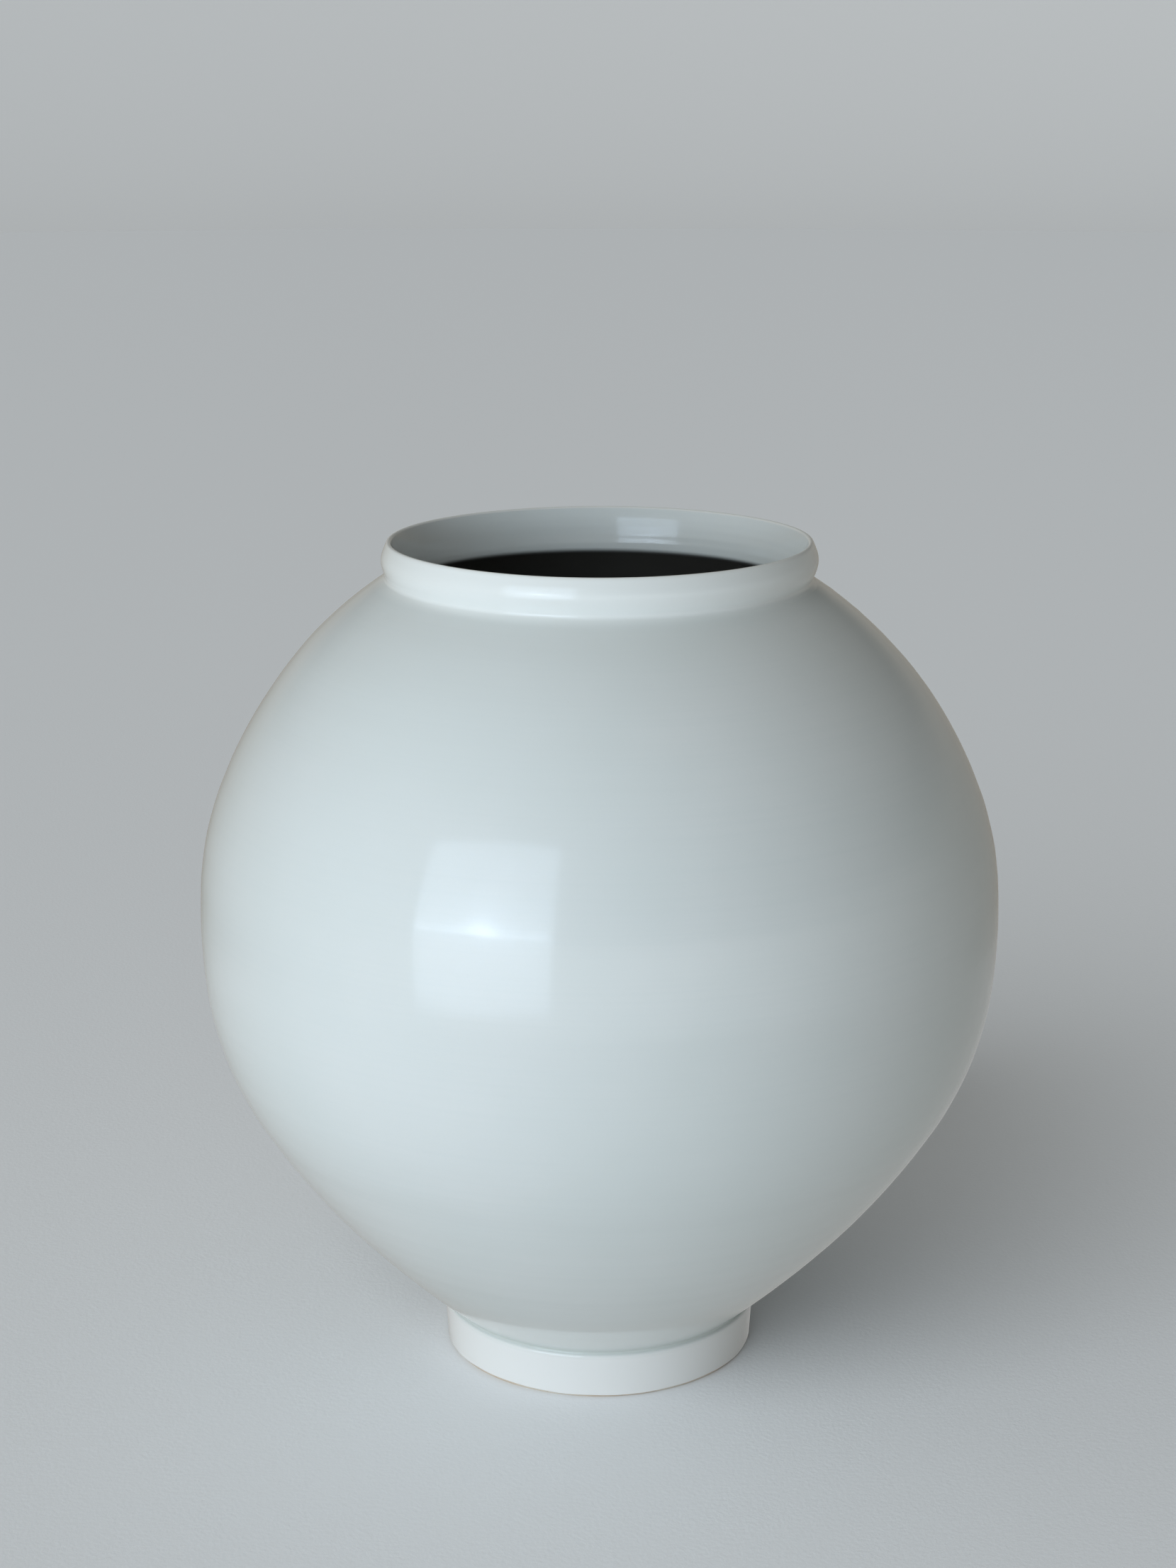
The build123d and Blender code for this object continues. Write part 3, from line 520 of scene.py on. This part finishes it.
# ------------------------------------------------------------------------------------------
# Materials
# ------------------------------------------------------------------------------------------
class Nodes:
    def __init__(self, name):
        self.mat = bpy.data.materials.new(name)
        self.mat.use_nodes = True
        self.t = self.mat.node_tree
        self.t.nodes.clear()
        self.out = self.new("ShaderNodeOutputMaterial")
        self.bsdf = self.new("ShaderNodeBsdfPrincipled")
        self.link(self.bsdf.outputs[0], self.out.inputs["Surface"])
        self.place = self.new("ShaderNodeTexCoord").outputs["Object"]
        sep = self.new("ShaderNodeSeparateXYZ")
        self.link(self.place, sep.inputs[0])
        self.x, self.y, self.z = sep.outputs

    def new(self, kind, **props):
        n = self.t.nodes.new(kind)
        for k_, v in props.items():
            setattr(n, k_, v)
        return n

    def link(self, a, b):
        self.t.links.new(a, b)

    def put(self, socket, value):
        if isinstance(value, (int, float)):
            socket.default_value = value
        elif isinstance(value, (tuple, list)):
            socket.default_value = value
        else:
            self.link(value, socket)

    def math(self, op, a, b=None, c=None, clamp=False):
        n = self.new("ShaderNodeMath", operation=op, use_clamp=clamp)
        self.put(n.inputs[0], a)
        if b is not None:
            self.put(n.inputs[1], b)
        if c is not None:
            self.put(n.inputs[2], c)
        return n.outputs[0]

    def ramp(self, value, a, b, lo=0.0, hi=1.0, soft=True):
        n = self.new("ShaderNodeMapRange", interpolation_type="SMOOTHSTEP" if soft else "LINEAR")
        self.put(n.inputs["Value"], value)
        self.put(n.inputs["From Min"], a)
        self.put(n.inputs["From Max"], b)
        self.put(n.inputs["To Min"], lo)
        self.put(n.inputs["To Max"], hi)
        return n.outputs[0]

    def scaled(self, sx, sy, sz, shift=(0.0, 0.0, 0.0)):
        n = self.new("ShaderNodeMapping")
        self.link(self.place, n.inputs["Vector"])
        n.inputs["Scale"].default_value = (sx, sy, sz)
        n.inputs["Location"].default_value = shift
        return n.outputs[0]

    def noise(self, vector, scale=1.0, detail=2.0, rough=0.5, lacunarity=2.0):
        n = self.new("ShaderNodeTexNoise")
        self.link(vector, n.inputs["Vector"])
        n.inputs["Scale"].default_value = scale
        n.inputs["Detail"].default_value = detail
        n.inputs["Roughness"].default_value = rough
        n.inputs["Lacunarity"].default_value = lacunarity
        return n.outputs["Fac"]

    def mix(self, fac, a, b, blend="MIX"):
        n = self.new("ShaderNodeMix", data_type="RGBA", blend_type=blend)
        self.put(n.inputs[0], fac)
        self.put(n.inputs[6], a)
        self.put(n.inputs[7], b)
        return n.outputs[2]

    def radius(self):
        """Distance from the jar's axis."""
        return self.math("SQRT", self.math("ADD", self.math("MULTIPLY", self.x, self.x),
                                           self.math("MULTIPLY", self.y, self.y)))

    def lines(self, scale, detail=2.0, shift=(0.0, 0.0, 0.0)):
        """Noise drawn out round the axis, as a turning tool or a wiping hand leaves it: read at
        (radius, height), with a little drift round the jar."""
        n = self.new("ShaderNodeCombineXYZ")
        self.put(n.inputs[0], self.radius())
        drift = self.noise(self.scaled(1, 1, 1, shift), 6.0, 1.0)
        self.put(n.inputs[1], self.math("MULTIPLY", drift, 0.004))
        self.put(n.inputs[2], self.z)
        return self.noise(n.outputs[0], scale, detail, 0.6)


def glaze(name, base=(0.735, 0.770, 0.758), inside=False):
    g = Nodes(name)
    # broad clouding where the coat lies thicker or thinner
    cloud = g.noise(g.scaled(1, 1, 1, (0.3, 0.1, 0.7)), 7.0, 3.0, 0.55)
    colour = g.mix(g.ramp(cloud, 0.35, 0.68), (base[0] * 0.975, base[1] * 0.985, base[2] * 0.982, 1),
                   (base[0] * 1.02, base[1] * 1.012, base[2] * 1.012, 1))
    # faint turned streaks under the glaze
    streak = g.lines(420.0, 3.0)
    colour = g.mix(g.math("MULTIPLY", g.ramp(streak, 0.42, 0.72), 0.16), colour,
                   (base[0] * 0.93, base[1] * 0.95, base[2] * 0.955, 1))
    # fine grain of the fired coat
    grain = g.noise(g.scaled(1, 1, 1), 1500.0, 2.0, 0.7)
    colour = g.mix(g.math("MULTIPLY", g.ramp(grain, 0.40, 0.64), 0.05), colour,
                   (base[0] * 0.86, base[1] * 0.88, base[2] * 0.89, 1))
    if not inside:
        # pooled glaze: bluer green in the crease under the collar and greener in the notch over the foot
        pool = g.math("MULTIPLY", g.ramp(g.z, 0.3795, 0.3822), g.ramp(g.z, 0.3855, 0.3832))
        colour = g.mix(g.math("MULTIPLY", pool, 0.14), colour, (0.60, 0.66, 0.64, 1))
        foot_pool = g.math("MULTIPLY", g.ramp(g.z, 0.0218, 0.0228), g.ramp(g.z, 0.0275, 0.0240))
        colour = g.mix(g.math("MULTIPLY", foot_pool, 0.55), colour, (0.585, 0.63, 0.585, 1))
        # painted warm reflection above the foot: a yellower band stands in for the foot mirrored in the glaze
        # and the floor's warm bounce
        painted_warm_reflection_band = g.math("MULTIPLY", g.ramp(g.z, 0.0225, 0.0300), g.ramp(g.z, 0.062, 0.036))
        colour = g.mix(g.math("MULTIPLY", painted_warm_reflection_band, 0.25), colour, (0.745, 0.745, 0.685, 1))
        # thinner and whiter on the collar and down the foot, and partly painted light as well: both are
        # painted lighter to match how brightly they are lit, and the collar's lighter paint reaches down into
        # the crease to cancel its shade
        colour = g.mix(g.math("MULTIPLY", g.ramp(g.z, 0.3790, 0.3832), 0.9), colour, (0.850, 0.874, 0.852, 1))
        colour = g.mix(g.math("MULTIPLY", g.ramp(g.z, 0.0225, 0.0208), 0.9), colour, (0.890, 0.886, 0.865, 1))
        # thin where it breaks over the foot's edge and the lip
        thin = g.math("MULTIPLY", g.ramp(g.z, 0.0195, 0.0208), g.ramp(g.z, 0.0226, 0.0219))
        colour = g.mix(g.math("MULTIPLY", thin, 0.6), colour, (0.83, 0.84, 0.815, 1))
    lip = g.ramp(g.z, 0.3985, 0.3997)
    colour = g.mix(g.math("MULTIPLY", lip, 0.5), colour, (0.83, 0.84, 0.815, 1))
    if inside:
        # painted shade: below the neck the inside is painted dark, standing in for the shade deep inside the
        # jar
        dark = g.math("MULTIPLY", g.ramp(g.z, 0.3802, 0.3762), g.ramp(g.z, 0.0155, 0.020))
        colour = g.mix(dark, colour, g.mix(g.ramp(cloud, 0.35, 0.68), (0.135, 0.128, 0.115, 1),
                                           (0.20, 0.195, 0.18, 1)))
    # iron specks: rare, small, soft-edged and barely darker than the glaze
    speck = g.new("ShaderNodeTexVoronoi", feature="F1", distance="EUCLIDEAN")
    g.link(g.scaled(1, 1, 1, (0.013, 0.029, 0.017)), speck.inputs["Vector"])
    speck.inputs["Scale"].default_value = 48.0
    speck.inputs["Randomness"].default_value = 1.0
    sep = g.new("ShaderNodeSeparateColor")
    g.link(speck.outputs["Color"], sep.inputs[0])
    rare = g.math("GREATER_THAN", sep.outputs[0], 0.955)
    size = g.ramp(sep.outputs[1], 0.0, 1.0, 0.016, 0.045, soft=False)
    dot = g.math("SUBTRACT", 1.0, g.math("DIVIDE", speck.outputs["Distance"], size), clamp=True)
    dot = g.math("MULTIPLY", g.math("MULTIPLY", g.ramp(dot, 0.0, 0.8), rare), g.ramp(sep.outputs[2], 0.0, 1.0, 0.03, 0.17, soft=False))
    colour = g.mix(dot, colour, (0.20, 0.15, 0.10, 1))
    g.link(colour, g.bsdf.inputs["Base Color"])
    # gloss: satin, a touch drier in patches
    patch = g.noise(g.scaled(1, 1, 1, (1.7, 0.4, 0.2)), 18.0, 3.0, 0.6)
    rough = g.ramp(patch, 0.3, 0.7, 0.080, 0.110)
    rough = g.math("ADD", rough, g.math("MULTIPLY", g.ramp(grain, 0.35, 0.7), 0.02))
    g.link(rough, g.bsdf.inputs["Roughness"])
    g.bsdf.inputs["IOR"].default_value = 1.5
    # surface: orange peel, fine grain, turned lines
    peel = g.noise(g.scaled(1, 1, 1, (0.9, 0.2, 0.5)), 260.0, 2.0, 0.5)
    fine = g.noise(g.scaled(1, 1, 1, (0.1, 0.8, 0.3)), 1300.0, 1.0, 0.5)
    turned_lines = g.lines(260.0, 2.0, (0.2, 0.2, 0.2))
    height = g.math("MULTIPLY", peel, 0.0000060)
    height = g.math("ADD", height, g.math("MULTIPLY", fine, 0.0000011))
    height = g.math("ADD", height, g.math("MULTIPLY", turned_lines, 0.0000080 if not inside else 0.000012))
    bump = g.new("ShaderNodeBump")
    bump.inputs["Strength"].default_value = 1.0
    bump.inputs["Distance"].default_value = 1.0
    g.link(height, bump.inputs["Height"])
    g.link(bump.outputs[0], g.bsdf.inputs["Normal"])
    return g.mat


def biscuit(name, base, toasted, toast_from=None):
    """Unglazed fired clay: matt, finely gritty, toasted where the flame reached it."""
    g = Nodes(name)
    blush = g.noise(g.scaled(1, 1, 1, (0.5, 0.5, 0.1)), 26.0, 3.0, 0.6)
    fac = g.ramp(blush, 0.38, 0.70)
    if toast_from is not None:
        fac = g.math("MAXIMUM", g.math("MULTIPLY", fac, 0.55), g.ramp(g.z, *toast_from))
    colour = g.mix(g.math("MULTIPLY", fac, 0.75), (*base, 1), (*toasted, 1))
    grit = g.new("ShaderNodeTexVoronoi", feature="F1")
    g.link(g.scaled(1, 1, 1), grit.inputs["Vector"])
    grit.inputs["Scale"].default_value = 900.0
    sep = g.new("ShaderNodeSeparateColor")
    g.link(grit.outputs["Color"], sep.inputs[0])
    dark = g.math("MULTIPLY", g.math("GREATER_THAN", sep.outputs[0], 0.93), g.ramp(grit.outputs["Distance"], 0.45, 0.15))
    colour = g.mix(g.math("MULTIPLY", dark, 0.6), colour, (base[0] * 0.45, base[1] * 0.38, base[2] * 0.30, 1))
    tooth = g.noise(g.scaled(1, 1, 1, (0.3, 0.6, 0.9)), 1500.0, 3.0, 0.65)
    colour = g.mix(g.math("MULTIPLY", g.ramp(tooth, 0.4, 0.7), 0.25), colour, (base[0] * 0.86, base[1] * 0.84, base[2] * 0.80, 1))
    g.link(colour, g.bsdf.inputs["Base Color"])
    g.link(g.ramp(tooth, 0.3, 0.7, 0.62, 0.82), g.bsdf.inputs["Roughness"])
    g.bsdf.inputs["IOR"].default_value = 1.45
    rings = g.lines(1500.0, 3.0)
    height = g.math("ADD", g.math("MULTIPLY", tooth, 0.000035), g.math("MULTIPLY", rings, 0.00006))
    bump = g.new("ShaderNodeBump")
    bump.inputs["Strength"].default_value = 0.8
    bump.inputs["Distance"].default_value = 1.0
    g.link(height, bump.inputs["Height"])
    g.link(bump.outputs[0], g.bsdf.inputs["Normal"])
    return g.mat


glaze_out = glaze("celadon_white_glaze")
glaze_in = glaze("celadon_white_liner_glaze_with_painted_shade", inside=True)
clay = biscuit("fired_porcelain", (0.76, 0.71, 0.62), (0.66, 0.50, 0.34))
rim_clay = biscuit("foot_rim_porcelain", (0.74, 0.69, 0.60), (0.62, 0.45, 0.30))
slip_clay = biscuit("luting_slip", (0.80, 0.76, 0.69), (0.72, 0.62, 0.50))

for piece, node, mat, slot in (
    (outer_coat, "outer_glaze", glaze_out, "glaze"),
    (inner_coat, "inner_glaze", glaze_in, "glaze"),
    (recess_coat, "recess_glaze", glaze_in, "glaze"),
    (foot_rim, "foot_ring", rim_clay, "porcelain"),
):
    piece.data.materials.append(mat)
    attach(piece, "root")
    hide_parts(node)

for node, mat in (("lower_bowl", clay), ("upper_bowl", clay), ("mouth_collar", clay),
                  ("equator_slip_joint", slip_clay), ("collar_slip_joint", slip_clay),
                  ("foot_slip_joint", slip_clay)):
    obj = frame["nodes"][node]
    if not obj.material_slots:
        obj.data.materials.append(mat)
    for s in obj.material_slots:
        s.material = mat


# ------------------------------------------------------------------------------------------
# Stage: pale floor running up into a pale backdrop, one big softbox at the front left, soft
# surroundings
# ------------------------------------------------------------------------------------------
def stage_lathe(name, profile, sides=128):
    """A stage surface turned about the vertical from (radius, height) points in metres."""
    verts, faces = [], []
    for r_, z_ in profile:
        verts += [(r_ * cos(2 * pi * i / sides), r_ * sin(2 * pi * i / sides), z_) for i in range(sides)]
    for k_ in range(len(profile) - 1):
        for i in range(sides):
            m = (i + 1) % sides
            faces.append((k_ * sides + i, (k_ + 1) * sides + i, (k_ + 1) * sides + m, k_ * sides + m)[::-1])
    if profile[0][0] < 1.0:
        faces.append(tuple(range(sides)))
    mesh = bpy.data.meshes.new(name)
    mesh.from_pydata(verts, [], faces)
    mesh.polygons.foreach_set("use_smooth", [True] * len(mesh.polygons))
    mesh.update()
    obj = bpy.data.objects.new(name, mesh)
    bpy.context.scene.collection.objects.link(obj)
    return obj


f = Nodes("pale_floor")
f.bsdf.inputs["Base Color"].default_value = FLOOR_COLOUR
f.bsdf.inputs["Roughness"].default_value = 0.8
nap = f.noise(f.scaled(1, 1, 1), 420.0, 3.0, 0.6)
fb = f.new("ShaderNodeBump")
fb.inputs["Strength"].default_value = 0.25
fb.inputs["Distance"].default_value = 0.0006
f.link(nap, fb.inputs["Height"])
f.link(fb.outputs[0], f.bsdf.inputs["Normal"])

FLOOR_R, SWEEP, WALL_TOP = 9.0, 4.0, 14.0
floor = stage_lathe("floor", [(0.05, 0.0), (1.0, 0.0), (3.0, 0.0), (FLOOR_R, 0.0)])
floor.data.materials.append(f.mat)
floor.visible_glossy = False          # the glaze mirrors the surroundings, not the floor's far edge
backdrop = stage_lathe("backdrop", [(FLOOR_R + SWEEP * sin(radians(v)), SWEEP * (1 - cos(radians(v))))
                                    for v in range(0, 91, 6)] + [(FLOOR_R + SWEEP, WALL_TOP)])
bd = Nodes("pale_backdrop")
bd.bsdf.inputs["Base Color"].default_value = FLOOR_COLOUR
bd.bsdf.inputs["Roughness"].default_value = 0.8
bd.bsdf.inputs["Emission Color"].default_value = BACKDROP_GLOW
bd.bsdf.inputs["Emission Strength"].default_value = 1.0
backdrop.data.materials.append(bd.mat)
for way in ("visible_diffuse", "visible_glossy", "visible_transmission", "visible_shadow"):
    setattr(backdrop, way, False)


# the lights reach below the floor, which doesn't stop them: only the jar casts shadows
jar_only = bpy.data.collections.new("casts_shadow")
for obj in list(bpy.context.scene.objects):
    if obj.type == "MESH" and obj not in (floor, backdrop):
        jar_only.objects.link(obj)
floor_only = bpy.data.collections.new("floor_only")
floor_only.objects.link(floor)

la = radians(LIGHT_AZ)
away, side = np.array([sin(la), -cos(la), 0.0]), np.array([cos(la), sin(la), 0.0])
plane_at = np.array(LIGHT_O) + away * LIGHT_D

for name, across, height, colour, radiance, lit in PANELS:
    light = bpy.data.lights.new(name, "AREA")
    light.shape = "RECTANGLE"
    light.size, light.size_y = across[1] - across[0], height[1] - height[0]
    light.energy = radiance * pi * light.size * light.size_y
    light.color = colour
    obj = bpy.data.objects.new(name, light)
    obj.location = tuple(plane_at + side * sum(across) / 2 + np.array([0, 0, sum(height) / 2]))
    obj.rotation_euler = (radians(90), 0.0, la)
    obj.visible_camera = obj.visible_glossy = False
    obj.light_linking.blocker_collection = jar_only
    if lit == "jar":
        obj.light_linking.receiver_collection = jar_only
    bpy.context.scene.collection.objects.link(obj)

# the stage's own light: broad and far off, so that the floor is even all round
sun = bpy.data.lights.new("stage_light", "SUN")
sun.angle = radians(50)
sun.energy, sun.color = STAGE_LIGHT
distant = bpy.data.objects.new("stage_light", sun)
distant.rotation_euler = (radians(90 - 28), 0.0, la)
distant.visible_camera = distant.visible_glossy = False
distant.light_linking.receiver_collection = floor_only
distant.light_linking.blocker_collection = jar_only
bpy.context.scene.collection.objects.link(distant)

# a soft light from behind, for the far side alone
light = bpy.data.lights.new("back_fill", "AREA")
light.shape, light.size = "SQUARE", 1.0
light.energy = pi * BACK_FILL
light.color = (0.96, 0.99, 1.0)
back = bpy.data.objects.new("back_fill", light)
back.location = (-0.22, 1.5, 0.75)
back.rotation_euler = (radians(90 - 19), 0.0, radians(180 + 8))
back.visible_camera = back.visible_glossy = False
outside_only = bpy.data.collections.new("outside_only")
for obj in jar_only.objects:
    if obj is not inner_coat:
        outside_only.objects.link(obj)
back.light_linking.receiver_collection = outside_only
back.light_linking.blocker_collection = jar_only
bpy.context.scene.collection.objects.link(back)

# the softbox that shows in the glaze: brightest in the middle, a tube glowing through its cloth
(u0, u1), (v0, v1) = SOFTBOX_SPAN
light = bpy.data.lights.new("softbox", "AREA")
light.shape = "RECTANGLE"
light.size, light.size_y = u1 - u0, v1 - v0
light.energy = pi * light.size * light.size_y
softbox = bpy.data.objects.new("softbox", light)
softbox.location = tuple(plane_at + side * (u0 + u1) / 2 + np.array([0, 0, (v0 + v1) / 2]))
softbox.rotation_euler = (radians(90), 0.0, la)
softbox.visible_camera = False
softbox.light_linking.receiver_collection = jar_only
softbox.light_linking.blocker_collection = jar_only
bpy.context.scene.collection.objects.link(softbox)
light.use_nodes = True
lt = light.node_tree
lt.nodes.clear()


def lmath(op, a_, b_=None, c_=None, clamp=False):
    n = lt.nodes.new("ShaderNodeMath")
    n.operation, n.use_clamp = op, clamp
    for s_, v in zip(n.inputs, (a_, b_, c_)):
        if v is None:
            continue
        if isinstance(v, (int, float)):
            s_.default_value = v
        else:
            lt.links.new(v, s_)
    return n.outputs[0]


def bell(value, middle, width):
    q = lmath("DIVIDE", lmath("SUBTRACT", value, middle), width)
    return lmath("EXPONENT", lmath("MULTIPLY", lmath("MULTIPLY", q, q), -1.0))


def edge(value, at, soft):
    """0 below at, 1 above, over a soft width."""
    return lmath("ADD", lmath("DIVIDE", lmath("SUBTRACT", value, at), soft), 0.5, clamp=True)


spot = lt.nodes.new("ShaderNodeSeparateXYZ")
lt.links.new(lt.nodes.new("ShaderNodeNewGeometry").outputs["Parametric"], spot.inputs[0])
u_ = lmath("MULTIPLY_ADD", spot.outputs[0], u1 - u0, u0)
v_ = lmath("MULTIPLY_ADD", spot.outputs[1], v1 - v0, v0)
glow = lmath("MULTIPLY_ADD", lmath("MULTIPLY", bell(u_, 0.0, 0.32), bell(v_, 0.24, 0.27)), 1.7, 1.75)
glow = lmath("MULTIPLY_ADD", lmath("MULTIPLY", bell(u_, -0.027, 0.075), bell(v_, 0.222, 0.032)), 6.0, glow)
tube = lmath("MULTIPLY_ADD", u_, -0.05, v_)
glow = lmath("MULTIPLY_ADD", bell(tube, 0.205, 0.017), 3.2, glow)
# the frame's four edges, not quite square
(bl, br, tr, tl) = SOFTBOX
for (pu, pv), (qu, qv), flip in ((bl, br, 1), (tl, tr, -1), (bl, tl, 1), (br, tr, -1)):
    if abs(qu - pu) > abs(qv - pv):       # low and top edges: v against a line in u
        line = lmath("MULTIPLY_ADD", u_, -(qv - pv) / (qu - pu), v_)
        at = pv - pu * (qv - pv) / (qu - pu)
    else:
        line = lmath("MULTIPLY_ADD", v_, -(qu - pu) / (qv - pv), u_)
        at = pu - pv * (qu - pu) / (qv - pv)
    m = edge(line, at, 0.008)
    glow = lmath("MULTIPLY", glow, m if flip > 0 else lmath("SUBTRACT", 1.0, m))
em = lt.nodes.new("ShaderNodeEmission")
em.inputs["Color"].default_value = (*SOFTBOX_COLOUR, 1)
lt.links.new(glow, em.inputs["Strength"])
lt.links.new(em.outputs[0], lt.nodes.new("ShaderNodeOutputLight").inputs["Surface"])
mouth_light = light.copy()
mouth_light.energy = light.energy * MOUTH_KICKER
kicker = bpy.data.objects.new("mouth_kicker", mouth_light)
kicker.location, kicker.rotation_euler = softbox.location, softbox.rotation_euler
kicker.visible_camera = False
mouth_only = bpy.data.collections.new("mouth_only")
mouth_only.objects.link(inner_coat)
kicker.light_linking.receiver_collection = mouth_only
kicker.light_linking.blocker_collection = jar_only
bpy.context.scene.collection.objects.link(kicker)

world = bpy.data.worlds.new("studio")
bpy.context.scene.world = world
world.use_nodes = True
wt = world.node_tree
wt.nodes.clear()


def wnode(kind, **props):
    n = wt.nodes.new(kind)
    for k_, v in props.items():
        setattr(n, k_, v)
    return n


def wmath(op, a_, b_=None, clamp=False):
    n = wnode("ShaderNodeMath", operation=op, use_clamp=clamp)
    for s_, v in zip(n.inputs, (a_, b_)):
        if v is None:
            continue
        if isinstance(v, (int, float)):
            s_.default_value = v
        else:
            wt.links.new(v, s_)
    return n.outputs[0]


wsep = wnode("ShaderNodeSeparateXYZ")
wt.links.new(wnode("ShaderNodeTexCoord").outputs["Generated"], wsep.inputs[0])
wx, wy, wz = wsep.outputs
above = wmath("ADD", wmath("MULTIPLY", wz, 16.0), 0.31 * 16.0 + 0.5, clamp=True)
sky = wmath("ADD", wmath("MULTIPLY", wz, 6.0), 0.5 - 0.14 * 6.0, clamp=True)
zones = {"sky": sky, "level": wmath("SUBTRACT", above, sky), "below": wmath("SUBTRACT", 1.0, above)}
neg = {"x": wmath("MULTIPLY", wx, -1.0), "y": wmath("MULTIPLY", wy, -1.0)}


def lobe(axis):
    c_ = wmath("MAXIMUM", axis, 0.0)
    return wmath("MULTIPLY", c_, c_)


parts_ = {"all": None, "left": lobe(neg["x"]), "right": lobe(wx), "front": lobe(neg["y"]),
          "back": lobe(wy), "top": lobe(wz),
          "front_left": lobe(wmath("MULTIPLY", wmath("ADD", neg["x"], neg["y"]), 0.7071)),
          "front_right": lobe(wmath("MULTIPLY", wmath("ADD", wx, neg["y"]), 0.7071))}
total = None
for zone, mask in zones.items():
    for key, colour in WORLD[zone].items():
        fac = mask if parts_[key] is None else wmath("MULTIPLY", mask, parts_[key])
        n = wnode("ShaderNodeMix", data_type="RGBA", blend_type="MIX")
        n.inputs[6].default_value = (0, 0, 0, 1)
        n.inputs[7].default_value = (*colour, 1)
        wt.links.new(fac, n.inputs[0])
        if total is None:
            total = n.outputs[2]
        else:
            s_ = wnode("ShaderNodeMix", data_type="RGBA", blend_type="ADD")
            s_.inputs[0].default_value = 1.0
            wt.links.new(total, s_.inputs[6])
            wt.links.new(n.outputs[2], s_.inputs[7])
            total = s_.outputs[2]
bg = wnode("ShaderNodeBackground")
wt.links.new(total, bg.inputs["Color"])
wt.links.new(bg.outputs[0], wnode("ShaderNodeOutputWorld").inputs["Surface"])

# ------------------------------------------------------------------------------------------
# Camera, as the photograph was taken: 1659 x 2212, focal length 3900 pixels
# ------------------------------------------------------------------------------------------
cam_data = bpy.data.cameras.new("camera")
cam = bpy.data.objects.new("camera", cam_data)
bpy.context.scene.collection.objects.link(cam)
cam_data.sensor_width = 36.0
cam_data.sensor_height = 36.0
cam_data.sensor_fit = "AUTO"
cam_data.lens = 3900.0 / 2212.0 * 36.0
cam_data.clip_start, cam_data.clip_end = 0.01, 200.0
cam.location = (0.0, -1.2724, 0.6188)
cam.rotation_euler = (radians(90 - 14.82), 0.0, radians(0.2424))
bpy.context.scene.camera = cam
bpy.context.scene.view_settings.view_transform = "Standard"
